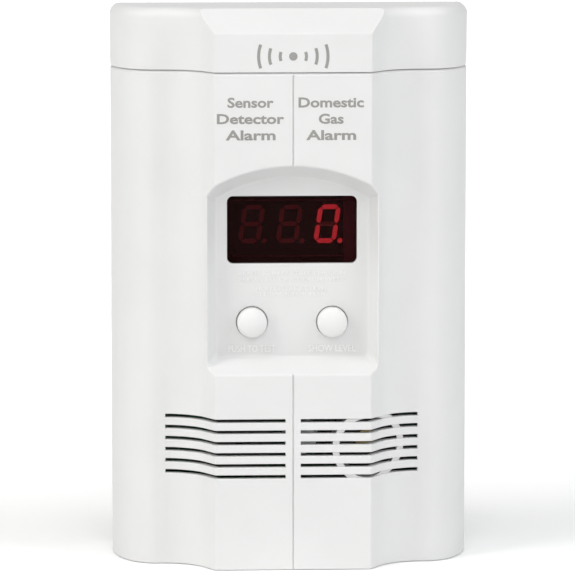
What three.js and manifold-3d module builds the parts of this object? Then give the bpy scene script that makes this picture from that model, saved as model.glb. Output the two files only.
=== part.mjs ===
// A plug-in carbon monoxide detector: front cover, hinged battery door, two push buttons, a digital
// display, the sensors and sounder behind the vents, and the power module with its two plug blades.
// Millimetres. +X is to the right of someone facing the display, the front faces -Y and +Z is up.
// The origin is on the flat back, midway between the plug blades.
import * as THREE from "three";
import { mergeVertices } from "three/addons/utils/BufferGeometryUtils.js";
import Module from "manifold-3d";

// Casing
const HALF_WIDTH = 47.5;
const HEIGHT = 147.5;
const CASE_DEPTH = 42; // from the centre panel back to the wall
const COVER_DEPTH = 31.8; // depth of the front cover and of the door
const WALL = 2;
const GAP = 0.3; // clearance between neighbouring pieces
const PLUG_HEIGHT = 64; // of the blades' centre above the base

// Plan outline of the casing: a flat centre panel, a slope, a cove, a side plateau, a round shoulder
const PANEL_HALF = 20.6;
const SLOPE_ANGLE = THREE.MathUtils.degToRad(58);
const COVE_RADIUS = 12;
const COVE_X = 33.6; // where the cove runs out onto the plateau
const PLATEAU_DEPTH = 10.2;
const SHOULDER_X = 36;
const SHOULDER_DEPTH = 30;
const COVE_STEPS = 4;
const SHOULDER_STEPS = 6;

// Door at the top
const SEAM = 131.2; // top of the front cover
const DOOR_BOTTOM = 131.6;
const DOOR_CORNER = 2.3;
const CHAMFER_LOW = 141.4; // the chamfer starts here on the front panel
const CHAMFER_BACK = 7.2; // and meets the top this far back
const HINGE_DEPTH = 34;
const HINGE_Z = 145;
const KNUCKLE_RADIUS = 1.9;
const KNUCKLE_X = 30;
const KNUCKLE_WIDTH = 8;
const EAR_WIDTH = 4;
const PIN_RADIUS = 1;

// Display recess, window and buttons
const RECESS_DEPTH = 7.9;
const RECESS_HALF = 20.1; // at the floor
const RECESS_LOW = 55.7;
const ARCH_Z = 63.7; // centre of the arch over the recess
const ARCH_RADIUS = 39.5;
const RECESS_DRAFT = 3.68; // how much wider each wall stands at the panel than at the floor
const WINDOW = { half: 17.05, low: 80.3, high: 98, corner: 1.2 };
const BUTTON_X = 10.55;
const BUTTON_Z = 64.9;
const BUTTON_RADIUS = 3.85;
const BUTTON_STAND = 4; // how far the dome stands out of the recess floor

// Vents and sounder
const VENT_ROWS = 6;
const VENT_TOP = 39.9;
const VENT_PITCH = 2.94;
const VENT_HEIGHT = 1.15;
const VENT_INNER = 2;
const VENT_OUTER = 33.4;
const SOUNDER = { x: 20, z: 32.3, outer: 9.65, inner: 7.95, sunk: 0.6 };

// Rear housing and fasteners
const REAR_INSET = 1.2;
const REAR_TOP = 145.5;
const CASE_SCREWS = [[-37, 14], [37, 14], [-37, 120], [37, 120]];
const CASE_POST = 3.5;
const HOUSING_POST = 4.4;
const BOARD_SCREWS = [[-35, 52], [35, 52], [-35, 104], [35, 104]];
const BOARD_POST = 3;
const KEYHOLE = { x: 34, z: 98, entry: 4.2, slot: 2.3, rise: 8 };

// Main board
const BOARD_FRONT = 21.2; // depth of its front face
const BOARD_THICK = 1.6;
const BOARD = { half: 41, low: 6, high: 114 };

// Battery and its tray
const BATTERY = { left: -27.5, length: 46.4, front: 12.9, thick: 17.5, low: 117.5, wide: 26.5 };
const TRAY = { half: 32.5, low: 115.2, front: 8, rear: 31.8, wall: 1.2 };
const TERMINALS_Z = [-6.35, 6.35]; // from the middle of the battery

// Power module with the plug
const MODULE = { half: 26, low: 36, high: 92, front: 24.8, wall: 1.6, flange: 2.5 };
const BLADE = { spacing: 12.7, thick: 1.5, tall: 6.35, out: 17 };

const wasm = await Module();
wasm.setup();

/** Depth behind the centre panel, as a Y coordinate. */
const depth = (d) => d - CASE_DEPTH;

// ---- shapes ----

function solid(geometry) {
  const bare = geometry.index ? geometry.toNonIndexed() : geometry;
  const points = new THREE.BufferGeometry();
  points.setAttribute("position", bare.getAttribute("position"));
  const merged = mergeVertices(points, 1e-4);
  const vertProperties = merged.attributes.position.array;
  const triVerts = new Uint32Array(merged.index.array);
  return new wasm.Manifold(new wasm.Mesh({ numProp: 3, vertProperties, triVerts }));
}

function toGeometry(body) {
  const mesh = body.getMesh();
  const geometry = new THREE.BufferGeometry();
  geometry.setAttribute("position", new THREE.BufferAttribute(mesh.vertProperties, 3));
  geometry.setIndex(new THREE.BufferAttribute(mesh.triVerts, 1));
  return geometry;
}

/** Box between two corners. */
function block([x0, x1], [y0, y1], [z0, z1]) {
  const geometry = new THREE.BoxGeometry(x1 - x0, y1 - y0, z1 - z0);
  return solid(geometry.translate((x0 + x1) / 2, (y0 + y1) / 2, (z0 + z1) / 2));
}

function extruded(points, length) {
  const shape = new THREE.Shape(points.map(([u, v]) => new THREE.Vector2(u, v)));
  return new THREE.ExtrudeGeometry(shape, { depth: length, bevelEnabled: false });
}

/** Plan outline of (x, y) points, raised from z0 to z1. */
function prism(points, z0, z1) {
  return solid(extruded(points, z1 - z0).translate(0, 0, z0));
}

/** Front outline of (x, z) points, from y0 back to y1. */
function plate(points, y0, y1) {
  return solid(extruded(points, y1 - y0).rotateX(Math.PI / 2).translate(0, y1, 0));
}

/** Side outline of (y, z) points, from x0 to x1. */
function beam(points, x0, x1) {
  const turn = new THREE.Matrix4().set(0, 0, 1, x0, 1, 0, 0, 0, 0, 1, 0, 0, 0, 0, 0, 1);
  return solid(extruded(points, x1 - x0).applyMatrix4(turn));
}

/** Cylinder along Y. */
function rod(radius, y0, y1, x = 0, z = 0, sides = 24) {
  const geometry = new THREE.CylinderGeometry(radius, radius, y1 - y0, sides);
  return solid(geometry.translate(x, (y0 + y1) / 2, z));
}

/** Cylinder along X. */
function pin(radius, x0, x1, y, z, sides = 12) {
  const geometry = new THREE.CylinderGeometry(radius, radius, x1 - x0, sides);
  return solid(geometry.rotateZ(Math.PI / 2).translate((x0 + x1) / 2, y, z));
}

/** Solid of revolution about Y from (radius, y) points with rising y. */
function turned(points, sides = 24) {
  return solid(new THREE.LatheGeometry(points.map(([r, y]) => new THREE.Vector2(r, y)), sides));
}

/** Round wire through the points. */
function wire(points, radius, steps) {
  const path = new THREE.CatmullRomCurve3(points.map((p) => new THREE.Vector3(...p)));
  const section = new THREE.Shape(circle(0, 0, radius, 8).map(([u, v]) => new THREE.Vector2(u, v)));
  return solid(new THREE.ExtrudeGeometry(section, { extrudePath: path, steps, bevelEnabled: false }));
}

/** Solid between two front outlines with as many corners each. */
function taper(front, frontY, floor, floorY) {
  const count = front.length;
  const rings = [...front.map(([x, z]) => [x, frontY, z]), ...floor.map(([x, z]) => [x, floorY, z])];
  const outline = front.map(([x, z]) => new THREE.Vector2(x, z));
  const index = [];
  for (const [a, b, c] of THREE.ShapeUtils.triangulateShape(outline, [])) {
    index.push(a, b, c, a + count, c + count, b + count);
  }
  for (let i = 0; i < count; i++) {
    const next = (i + 1) % count;
    index.push(i, i + count, next, next, i + count, next + count);
  }
  const geometry = new THREE.BufferGeometry();
  geometry.setAttribute("position", new THREE.Float32BufferAttribute(rings.flat(), 3));
  geometry.setIndex(index);
  return solid(geometry);
}

function circle(cx, cz, radius, sides, from = 0, to = 2 * Math.PI) {
  const open = to - from < 2 * Math.PI;
  const points = [];
  for (let i = 0; i < sides + (open ? 1 : 0); i++) {
    const angle = from + ((to - from) * i) / sides;
    points.push([cx + radius * Math.cos(angle), cz + radius * Math.sin(angle)]);
  }
  return points;
}

/** Rectangle with round corners, counted from its lower right corner. */
function roundedRectangle(x0, x1, z0, z1, radius, steps = 3) {
  const corners = [
    [x1 - radius, z0 + radius, -Math.PI / 2],
    [x1 - radius, z1 - radius, 0],
    [x0 + radius, z1 - radius, Math.PI / 2],
    [x0 + radius, z0 + radius, Math.PI],
  ];
  return corners.flatMap(([x, z, from]) => circle(x, z, radius, steps, from, from + Math.PI / 2));
}

/** Plan outline of the casing, moved inwards by inset and closed at rear. */
function casingOutline(inset, rear) {
  const half = [[PANEL_HALF - inset * Math.tan(SLOPE_ANGLE / 2), depth(inset)]];
  for (let i = 0; i <= COVE_STEPS; i++) {
    const turn = SLOPE_ANGLE * (1 - i / COVE_STEPS);
    const reach = COVE_RADIUS + inset;
    half.push([
      COVE_X - reach * Math.sin(turn),
      depth(PLATEAU_DEPTH - COVE_RADIUS + reach * Math.cos(turn)),
    ]);
  }
  for (let i = 0; i <= SHOULDER_STEPS; i++) {
    const turn = (Math.PI / 2) * (i / SHOULDER_STEPS);
    half.push([
      SHOULDER_X + (HALF_WIDTH - SHOULDER_X - inset) * Math.sin(turn),
      depth(SHOULDER_DEPTH - (SHOULDER_DEPTH - PLATEAU_DEPTH - inset) * Math.cos(turn)),
    ]);
  }
  half.push([HALF_WIDTH - inset, rear]);
  return [...half, ...half.map(([x, y]) => [-x, y]).reverse()];
}

/** Front outline of the display recess, its floor line moved outwards by offset. */
function recessOutline(offset) {
  const half = RECESS_HALF + offset;
  const low = RECESS_LOW - offset;
  const reach = Math.asin(half / (ARCH_RADIUS + offset));
  const arch = circle(0, ARCH_Z, ARCH_RADIUS + offset, 8, Math.PI / 2 - reach, Math.PI / 2 + reach);
  return [[-half, low], [half, low], ...arch];
}

/** The recess as a solid from in front of the panel to its floor, grown by offset. */
function recess(offset, floor) {
  const proud = 1;
  const spread = (RECESS_DRAFT * (RECESS_DEPTH + proud)) / RECESS_DEPTH;
  return taper(
    recessOutline(offset + spread),
    depth(-proud),
    recessOutline(offset + (RECESS_DRAFT * (RECESS_DEPTH - floor)) / RECESS_DEPTH),
    depth(floor),
  );
}

/** What the door's front chamfer takes away, moved inwards by inset. */
function chamferWedge(inset) {
  const rise = HEIGHT - CHAMFER_LOW;
  const slope = Math.hypot(CHAMFER_BACK, rise);
  const shiftD = (inset * rise) / slope;
  const shiftZ = (-inset * CHAMFER_BACK) / slope;
  const reach = 0.5; // how far the cut runs on past both ends of the chamfer
  const start = [-CHAMFER_BACK * reach, CHAMFER_LOW - rise * reach];
  const end = [CHAMFER_BACK * (1 + reach), HEIGHT + rise * reach];
  const corners = [start, end, [start[0], end[1]]];
  return beam(corners.map(([d, z]) => [depth(d + shiftD), z + shiftZ]), -60, 60);
}

// ---- front cover and door ----

function ventSlots(side) {
  const low = VENT_TOP - VENT_HEIGHT / 2;
  const span = side > 0 ? [VENT_INNER, VENT_OUTER] : [-VENT_OUTER, -VENT_INNER];
  let slots = block(span, [depth(-1), depth(14)], [low, low + VENT_HEIGHT]);
  for (let row = 1; row < VENT_ROWS; row++) {
    const z = low - row * VENT_PITCH;
    slots = slots.add(block(span, [depth(-1), depth(14)], [z, z + VENT_HEIGHT]));
  }
  return slots;
}

/** Round socket behind the right-hand vents that the sounder faces. */
function sounderSocket() {
  const { x, z, outer, inner, sunk } = SOUNDER;
  const ring = rod(outer, depth(0), depth(12.3), x, z).subtract(rod(inner, depth(-1), depth(13), x, z));
  return ring.intersect(prism(casingOutline(sunk, depth(COVER_DEPTH)), 10, 60));
}

function coverPosts() {
  const inner = prism(casingOutline(WALL / 2, depth(COVER_DEPTH)), 1, SEAM - 1);
  let posts = rod(CASE_POST, depth(8), depth(COVER_DEPTH - GAP), ...CASE_SCREWS[0], 16);
  for (const spot of CASE_SCREWS) {
    posts = posts.add(rod(CASE_POST, depth(8), depth(COVER_DEPTH - GAP), ...spot, 16));
  }
  for (const spot of BOARD_SCREWS) {
    posts = posts.add(rod(BOARD_POST, depth(8), depth(BOARD_FRONT - GAP), ...spot, 16));
  }
  posts = posts.intersect(inner);
  for (const spot of CASE_SCREWS) {
    posts = posts.subtract(rod(1.8, depth(21), depth(COVER_DEPTH), ...spot, 12));
  }
  for (const spot of BOARD_SCREWS) {
    posts = posts.subtract(rod(1.6, depth(14.5), depth(BOARD_FRONT), ...spot, 12));
  }
  return posts;
}

function frontCover() {
  const rear = depth(COVER_DEPTH);
  const backing = recess(WALL * 1.1, RECESS_DEPTH + WALL);
  const cavity = prism(casingOutline(WALL, rear + 5), WALL, SEAM - WALL).subtract(backing);
  const trayHalf = TRAY.half + GAP;
  const trayHole = prism(casingOutline(WALL, rear + 5), SEAM - WALL - 1, SEAM + 1).intersect(
    block([-trayHalf, trayHalf], [depth(TRAY.front - GAP), rear + 5], [SEAM - 5, SEAM + 5]),
  );
  const latchHole = block([-6.4, 6.4], [depth(WALL), depth(5)], [SEAM - WALL - 1, SEAM + 1]);
  let cover = prism(casingOutline(0, rear), 0, SEAM)
    .subtract(cavity)
    .subtract(recess(0, RECESS_DEPTH))
    .subtract(trayHole)
    .subtract(latchHole)
    .add(coverPosts());
  const { half, low, high, corner } = WINDOW;
  cover = cover.subtract(plate(roundedRectangle(-half, half, low, high, corner), depth(5), depth(12)));
  for (const x of [-BUTTON_X, BUTTON_X]) {
    cover = cover.subtract(rod(BUTTON_RADIUS + GAP, depth(5), depth(12), x, BUTTON_Z));
  }
  return cover.subtract(ventSlots(-1)).subtract(ventSlots(1)).add(sounderSocket());
}

/** One barrel of the door with the arm that carries it. */
function knuckle(side) {
  const x0 = side * KNUCKLE_X - KNUCKLE_WIDTH / 2;
  const x1 = x0 + KNUCKLE_WIDTH;
  const arm = block([x0, x1], [depth(COVER_DEPTH - 2), depth(HINGE_DEPTH)], [HINGE_Z, HINGE_Z + 1.7]);
  const barrel = pin(KNUCKLE_RADIUS, x0, x1, depth(HINGE_DEPTH), HINGE_Z, 16);
  const bore = pin(PIN_RADIUS + GAP, x0 - 1, x1 + 1, depth(HINGE_DEPTH), HINGE_Z);
  return barrel.add(arm).subtract(bore);
}

function batteryDoor() {
  const rear = depth(COVER_DEPTH);
  const silhouette = [
    [-HALF_WIDTH, DOOR_BOTTOM],
    [HALF_WIDTH, DOOR_BOTTOM],
    ...circle(HALF_WIDTH - DOOR_CORNER, HEIGHT - DOOR_CORNER, DOOR_CORNER, 3, 0, Math.PI / 2),
    ...circle(DOOR_CORNER - HALF_WIDTH, HEIGHT - DOOR_CORNER, DOOR_CORNER, 3, Math.PI / 2, Math.PI),
  ];
  const cavity = prism(casingOutline(WALL, rear + 5), DOOR_BOTTOM - 1, HEIGHT - WALL).subtract(
    chamferWedge(WALL),
  );
  const latch = block([-6, 6], [depth(1.5), depth(4.6)], [133, 134.4]).add(
    block([-6, 6], [depth(3.4), depth(4.6)], [129.4, 134]),
  );
  return prism(casingOutline(0, rear), DOOR_BOTTOM, HEIGHT)
    .intersect(plate(silhouette, depth(-1), depth(COVER_DEPTH + 1)))
    .subtract(chamferWedge(0))
    .subtract(cavity)
    .add(latch)
    .add(knuckle(-1))
    .add(knuckle(1));
}

// ---- rear housing ----

/** The two ears that hold a hinge pin, on either side of one knuckle. */
function hingeEars(side) {
  const inner = KNUCKLE_WIDTH / 2 + GAP;
  const spots = [side * KNUCKLE_X - inner - EAR_WIDTH, side * KNUCKLE_X + inner];
  const y = depth(HINGE_DEPTH);
  const [first, second] = spots.map((x) =>
    pin(KNUCKLE_RADIUS, x, x + EAR_WIDTH, y, HINGE_Z, 16).add(
      block(
        [x, x + EAR_WIDTH],
        [y - KNUCKLE_RADIUS, y + KNUCKLE_RADIUS],
        [REAR_TOP - WALL - 1, HINGE_Z],
      ),
    ),
  );
  return first.add(second);
}

function hingeNotch(side) {
  const half = KNUCKLE_WIDTH / 2 + GAP;
  const x = side * KNUCKLE_X;
  return block([x - half, x + half], [depth(COVER_DEPTH), depth(HINGE_DEPTH + 2.6)], [142.6, 150]);
}

function keyhole(side) {
  const { x, z, entry, slot, rise } = KEYHOLE;
  const centre = side * x;
  return rod(entry, -5, 1, centre, z, 20)
    .add(block([centre - slot, centre + slot], [-5, 1], [z, z + rise]))
    .add(rod(slot, -5, 1, centre, z + rise, 16));
}

function rearHousing() {
  const front = depth(COVER_DEPTH) + GAP;
  const half = HALF_WIDTH - REAR_INSET;
  const lipHalf = HALF_WIDTH - WALL - GAP;
  const lipLow = WALL + GAP;
  const lipFront = front - 2.1;
  let housing = plate(roundedRectangle(-half, half, 0, REAR_TOP, 2), front, 0);
  housing = housing.add(block([-lipHalf, lipHalf], [lipFront, front + 1], [lipLow, SEAM - 4]));
  const innerHalf = lipHalf - 1.4;
  housing = housing.subtract(
    block([-innerHalf, innerHalf], [lipFront - 1, -WALL], [lipLow + 1.4, REAR_TOP - WALL]),
  );
  for (const [x, z] of CASE_SCREWS) {
    const post = rod(HOUSING_POST, front, -1, x, z, 20);
    const pocket = rod(3.4, -5.4, 1, x, z, 16);
    housing = housing.add(post).subtract(pocket).subtract(rod(1.8, front - 4, -4, x, z, 12));
  }
  const pass = MODULE.half + GAP;
  housing = housing.subtract(block([-pass, pass], [-9, 1], [MODULE.low - GAP, MODULE.high + GAP]));
  housing = housing.add(rod(HOUSING_POST, -4, -1, 0, MODULE.low - 7, 20));
  housing = housing.subtract(rod(3.2, -2, 1, 0, MODULE.low - 7, 16));
  housing = housing.subtract(rod(1.6, -5, 0, 0, MODULE.low - 7, 12));
  for (const side of [-1, 1]) {
    const bore = pin(
      PIN_RADIUS + GAP, side * KNUCKLE_X - 7.9, side * KNUCKLE_X + 7.9, depth(HINGE_DEPTH), HINGE_Z,
    );
    housing = housing.subtract(keyhole(side)).subtract(hingeNotch(side));
    housing = housing.add(hingeEars(side)).subtract(bore);
  }
  return housing;
}

// ---- display and buttons ----

function displayLens() {
  const { half, low, high, corner } = WINDOW;
  const front = RECESS_DEPTH + GAP;
  const flange = RECESS_DEPTH + WALL + GAP;
  const boss = plate(
    roundedRectangle(-half + GAP, half - GAP, low + GAP, high - GAP, corner - GAP / 2),
    depth(front),
    depth(flange + 0.5),
  );
  return boss.add(block([-19, 19], [depth(flange), depth(flange + 1.2)], [low - 2, high + 2]));
}

/** Round cap with its dome, retaining flange and stem, about the middle of the recess floor. */
function buttonCap() {
  const flange = WALL + GAP;
  const dome = [];
  for (let i = 0; i <= 5; i++) {
    const turn = (Math.PI / 2) * (i / 5);
    dome.push([BUTTON_RADIUS * Math.sin(turn), -BUTTON_STAND + 1.5 * (1 - Math.cos(turn))]);
  }
  return turned([
    ...dome,
    [BUTTON_RADIUS, flange],
    [BUTTON_RADIUS + 1.2, flange],
    [BUTTON_RADIUS + 1.2, flange + 1],
    [1.6, flange + 1],
    [1.6, 8.3],
    [0, 8.3],
  ]);
}

const SWITCH_FRONT = 17.6;

/** Tact switch housing, about the middle of the board's front face. */
function switchBody() {
  const tall = BOARD_FRONT - GAP - SWITCH_FRONT;
  return block([-3, 3], [-tall - GAP, -GAP], [-3, 3]).subtract(rod(2, -tall - 1, -1.2, 0, 0, 16));
}

function switchPlunger() {
  return rod(1.6, -BOARD_FRONT + 16.5, -BOARD_FRONT + 18.9, 0, 0, 16);
}

// ---- main board ----

function mainBoard() {
  const { half, low, high } = BOARD;
  let board = block([-half, half], [0, BOARD_THICK], [low, high]);
  for (const [x, z] of CASE_SCREWS.slice(0, 2)) {
    board = board.subtract(rod(CASE_POST + 0.6, -1, 3, x, z, 16));
    const edge = Math.sign(x) * (half + 1);
    board = board.subtract(block([Math.min(x, edge), Math.max(x, edge)], [-1, 3], [0, z + 4.1]));
  }
  for (const [x, z] of BOARD_SCREWS) {
    board = board.subtract(rod(1.6, -1, 3, x, z, 12));
  }
  return board;
}

function displayModule() {
  return block([-19, 19], [-7.2, -GAP], [-10.2, 10.2]);
}

function sensorCell() {
  return turned([[0, -10.5], [8, -10.5], [8, -GAP], [0, -GAP]]);
}

function sensorCap() {
  const front = -12.6;
  return turned([[0, front], [8.4, front], [8.4, -10.8], [0, -10.8]]).subtract(rod(1.2, -14, -10, 0, 0, 12));
}

function gasSensor() {
  const can = turned([[0, -10], [4, -10], [4, -2.3], [4.75, -2.3], [4.75, -GAP], [0, -GAP]]);
  return can;
}

/** Cup that holds the piezo disc, open towards the board, with a sound hole in front. */
function hornCase() {
  const tall = BOARD_FRONT - 12.6;
  return turned([[0, -tall], [11, -tall], [11, -GAP], [0, -GAP]])
    .subtract(rod(9.8, -tall + 1.4, 1))
    .subtract(rod(3, -tall - 1, -tall + 2, 0, 0, 16));
}

function piezoDisc() {
  return rod(9.5, -4, -3.6);
}

function microcontroller() {
  return block([-6, 6], [-1.9, -GAP], [-6, 6]);
}

function capacitor() {
  return turned([[0, -8.2], [2.8, -8.2], [3.15, -7.8], [3.15, -GAP], [0, -GAP]], 20);
}

// ---- battery ----

/** Nine-volt block with its two snap terminals on the right-hand end. */
function battery() {
  const { length, thick, wide } = BATTERY;
  const outline = roundedRectangle(0, thick, 0, wide, 2.2, 3);
  const can = beam(outline, 0, length);
  const [low, high] = TERMINALS_Z.map((z) => z + wide / 2);
  return can
    .add(pin(2.8, length - 1, length + 2.6, thick / 2, low, 16))
    .add(pin(3.9, length - 1, length + 2.6, thick / 2, high, 6));
}

function batterySnap() {
  const { thick, wide } = BATTERY;
  const cap = beam(roundedRectangle(1.5, thick - 1.5, 1, wide - 1, 2), GAP, 5);
  const [low, high] = TERMINALS_Z.map((z) => z + wide / 2);
  return cap
    .subtract(pin(3.2, 0, 3, thick / 2, low, 16))
    .subtract(pin(4.3, 0, 3, thick / 2, high, 16));
}

function batteryTray() {
  const { half, low, front, rear, wall } = TRAY;
  const outer = prism(casingOutline(WALL + GAP, depth(rear)), low, SEAM).intersect(
    block([-half, half], [depth(front), depth(rear)], [low, SEAM]),
  );
  const inner = prism(casingOutline(WALL + GAP + wall, depth(rear - wall)), low + 1.5, SEAM + 1).intersect(
    block([wall - half, half - wall], [depth(front + wall), depth(rear - wall)], [low, SEAM + 1]),
  );
  const leadHole = block([26.4, 30.5], [depth(21), depth(26)], [low - 1, low + 3]);
  return outer.subtract(inner).subtract(leadHole);
}

// ---- power module ----

function moduleCase() {
  const { half, low, high, front, wall, flange } = MODULE;
  const shell = block([-half, half], [depth(front + wall + GAP), 0], [low, high]);
  const rim = block([-half - flange, half + flange], [-4, -WALL - GAP], [low - flange, high + flange]);
  const tab = block([-5, 5], [-6.3, -4.3], [low - 11, low + 2]);
  const cavity = block([wall - half, half - wall], [depth(front), -WALL], [low + wall, high - wall]);
  let module = shell.add(rim).subtract(cavity).add(tab.subtract(cavity));
  module = module.subtract(rod(HOUSING_POST + GAP, -4.3, -1, 0, low - 7, 16));
  for (const side of [-1, 1]) {
    const x = (side * BLADE.spacing) / 2;
    module = module.subtract(
      block(
        [x - BLADE.thick / 2 - GAP, x + BLADE.thick / 2 + GAP],
        [-5, 1],
        [PLUG_HEIGHT - BLADE.tall / 2 - GAP, PLUG_HEIGHT + BLADE.tall / 2 + GAP],
      ),
    );
  }
  return module.subtract(rod(1.6, -7, -3, 0, low - 7, 12));
}

function moduleLid() {
  const { half, low, high, front, wall } = MODULE;
  const lid = block([-half, half], [depth(front), depth(front + wall)], [low, high]);
  const inner = half - wall - GAP;
  const lip = block(
    [-inner, inner],
    [depth(front + wall) - 0.1, depth(front + wall + 1.5)],
    [low + wall + GAP, high - wall - GAP],
  ).subtract(block([-inner + 1.2, inner - 1.2], [-60, 0], [low + wall + 1.5, high - wall - 1.5]));
  return lid.add(lip).subtract(rod(1.3, -60, 0, -18, 84, 12)).subtract(rod(1.3, -60, 0, -14, 84, 12));
}

/** Flat plug blade with its chamfered tip and the foot inside the module. */
function plugBlade() {
  const { thick, tall, out } = BLADE;
  const outline = [
    [-8, -tall / 2],
    [out - 1.5, -tall / 2],
    [out, -tall / 2 + 1.5],
    [out, tall / 2 - 1.5],
    [out - 1.5, tall / 2],
    [-8, tall / 2],
  ];
  return beam(outline, -thick / 2, thick / 2).subtract(pin(1.5, -2, 2, out - 5, 0, 16));
}

function powerBoard() {
  return block([-23.5, 23.5], [0, BOARD_THICK], [-25, 25]).subtract(rod(2.2, -1, 3, -16, 20, 12));
}

function transformer() {
  return block([-9, 9], [0, 7.8], [-8, 8]).add(block([-6, 6], [0.8, 7], [-10.5, 10.5]));
}

function filterCapacitor() {
  const body = new THREE.CylinderGeometry(3.7, 3.7, 14, 16).rotateX(Math.PI / 2);
  return solid(body);
}

// ---- fasteners ----

/** Pan-head screw along -Y: the head's outer face is at the origin. */
function screw(headRadius, headHeight, shankRadius, length) {
  const body = turned(
    [[0, -length], [shankRadius * 0.5, -length], [shankRadius, 1 - length], [shankRadius, -headHeight],
      [headRadius, -headHeight], [headRadius, -0.4], [headRadius - 0.5, 0], [0, 0]],
    12,
  );
  const slot = block([-headRadius * 0.6, headRadius * 0.6], [-0.8, 1], [-0.4, 0.4]);
  const cross = block([-0.4, 0.4], [-0.8, 1], [-headRadius * 0.6, headRadius * 0.6]);
  return body.subtract(slot.add(cross));
}

// ---- assembly ----

const WHITE = 0xeceae6;
const FINISHES = {
  casing: { color: WHITE, roughness: 0.5, metalness: 0 },
  button: { color: 0xf2f1ee, roughness: 0.4, metalness: 0 },
  lens: { color: 0x2a0c0e, roughness: 0.12, metalness: 0 },
  black: { color: 0x1c1c1e, roughness: 0.55, metalness: 0 },
  grey: { color: 0x8c8c88, roughness: 0.55, metalness: 0 },
  board: { color: 0x1f5a35, roughness: 0.5, metalness: 0 },
  steel: { color: 0xb8bab8, roughness: 0.35, metalness: 1 },
  brass: { color: 0xc8a24a, roughness: 0.35, metalness: 1 },
  red: { color: 0xb01818, roughness: 0.5, metalness: 0 },
};

function piece(name, body, finish, position = [0, 0, 0]) {
  const mesh = new THREE.Mesh(toGeometry(body), new THREE.MeshStandardMaterial(FINISHES[finish]));
  mesh.name = name;
  mesh.position.set(...position);
  return mesh;
}

function group(position, ...members) {
  const made = new THREE.Group();
  made.position.set(...position);
  made.add(...members);
  return made;
}

/** A button with its switch: the plunger moves with the cap, the switch body sits on the board. */
function buttonSet(name, x) {
  return group(
    [x, 0, BUTTON_Z],
    piece(`${name}_button`, buttonCap(), "button", [0, depth(RECESS_DEPTH), 0]),
    piece(`${name}_switch_plunger`, switchPlunger(), "black", [0, depth(BOARD_FRONT), 0]),
    piece(`${name}_switch_body`, switchBody(), "black", [0, depth(BOARD_FRONT), 0]),
  );
}

function boardSet() {
  const { x, z } = SOUNDER;
  return group(
    [0, depth(BOARD_FRONT), 0],
    piece("main_board", mainBoard(), "board"),
    piece("display_module", displayModule(), "black", [0, 0, (WINDOW.low + WINDOW.high) / 2]),
    piece("co_sensor_cell", sensorCell(), "black", [-14, 0, 33]),
    piece("co_sensor_cap", sensorCap(), "grey", [-14, 0, 33]),
    piece("gas_sensor", gasSensor(), "steel", [2.6, 0, 33]),
    piece("horn_case", hornCase(), "black", [x, 0, z]),
    piece("piezo_disc", piezoDisc(), "brass", [x, 0, z]),
    piece("microcontroller", microcontroller(), "black", [-27, 0, 72]),
    piece("capacitor_upper", capacitor(), "black", [29, 0, 90]),
    piece("capacitor_lower", capacitor(), "black", [29, 0, 80]),
    ...BOARD_SCREWS.map(([sx, sz], i) =>
      piece(`board_screw_${i + 1}`, screw(2.7, 1.5, 1.25, 9), "steel", [sx, BOARD_THICK + GAP + 1.5, sz]),
    ),
  );
}

function batterySet() {
  const { left, length, front, low } = BATTERY;
  const right = left + length;
  const behindBoard = depth(BOARD_FRONT + BOARD_THICK + GAP + 0.8);
  const lead = (x, z) => [
    [right + 5.9, behindBoard, z],
    [x - 0.5, behindBoard, z - 1.6],
    [x, behindBoard, z - 5],
    [x, behindBoard, 112],
    [x, behindBoard, 98],
  ];
  return group(
    [0, 0, 0],
    piece("battery_tray", batteryTray(), "casing"),
    piece("battery", battery(), "grey", [left, depth(front), low]),
    piece("battery_snap", batterySnap(), "black", [right, depth(front), low]),
    piece("battery_lead_red", wire(lead(27.5, 122), 0.6, 16), "red"),
    piece("battery_lead_black", wire(lead(29.4, 125.5), 0.6, 16), "black"),
  );
}

function moduleSet() {
  const boardDepth = MODULE.front + 5;
  const lead = (x) => [
    [x, depth(boardDepth - 0.5), 84],
    [x, depth(MODULE.front - 0.2), 84],
    [x, depth(MODULE.front - 1), 86.5],
    [x, depth(MODULE.front - 1.1), 95],
  ];
  const behind = depth(boardDepth + BOARD_THICK + GAP);
  return group(
    [0, 0, 0],
    piece("power_module_case", moduleCase(), "casing"),
    piece("power_module_lid", moduleLid(), "casing"),
    piece("plug_blade_left", plugBlade(), "brass", [-BLADE.spacing / 2, 0, PLUG_HEIGHT]),
    piece("plug_blade_right", plugBlade(), "brass", [BLADE.spacing / 2, 0, PLUG_HEIGHT]),
    piece("power_board", powerBoard(), "board", [0, depth(boardDepth), PLUG_HEIGHT]),
    piece("transformer", transformer(), "grey", [-13.5, behind, 78]),
    piece("filter_capacitor", filterCapacitor(), "black", [14, behind + 3.9, 78]),
    piece("power_lead_red", wire(lead(-18), 0.6, 14), "red"),
    piece("power_lead_black", wire(lead(-14), 0.6, 14), "black"),
    piece("module_screw", screw(2.6, 1.6, 1.25, 7), "steel", [0, -0.3, MODULE.low - 7]),
  );
}

function casingSet() {
  return group(
    [0, 0, 0],
    piece("front_cover", frontCover(), "casing"),
    piece("battery_door", batteryDoor(), "casing"),
    piece("rear_housing", rearHousing(), "casing"),
    piece("display_lens", displayLens(), "lens"),
    ...[-1, 1].map((side) =>
      piece(
        side < 0 ? "hinge_pin_left" : "hinge_pin_right",
        pin(PIN_RADIUS, -7.6, 7.6, 0, 0),
        "steel",
        [side * KNUCKLE_X, depth(HINGE_DEPTH), HINGE_Z],
      ),
    ),
    ...CASE_SCREWS.map(([x, z], i) =>
      piece(`case_screw_${i + 1}`, screw(3, 2, 1.5, 16), "steel", [x, -3.1, z]),
    ),
  );
}

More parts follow.
